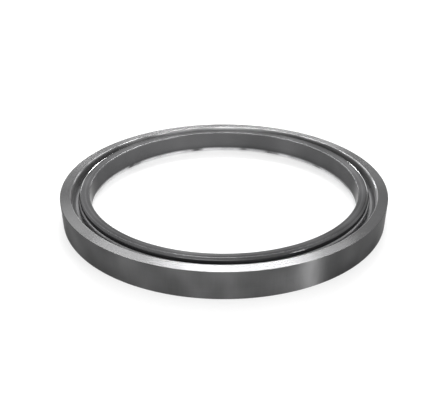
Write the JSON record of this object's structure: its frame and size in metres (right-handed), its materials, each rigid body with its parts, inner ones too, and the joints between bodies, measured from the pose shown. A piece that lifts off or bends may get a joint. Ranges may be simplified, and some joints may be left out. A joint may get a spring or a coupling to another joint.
{
  "type": "wheel seal",
  "caption": "Radial shaft seal for a wheel hub: a turned steel case, a moulded sealing lip bonded inside it and a garter spring in the groove behind the lip.",
  "frame": {"origin": "centre of the case's base, on the axis of the seal", "axes": "+Z along the seal's axis, from the base towards the spring side"},
  "size_m": [0.15, 0.15, 0.012],
  "materials": {
    "case": "turned steel, dark grey, fine tool marks on the land",
    "sealing_lip": "smooth moulded elastomer, grey, satin to glossy",
    "garter_spring": "bright drawn spring wire, close wound"
  },
  "bodies": {
    "root": {"case": "case", "sealing_lip": "sealing_lip", "garter_spring": "garter_spring"}
  },
  "joints": []
}
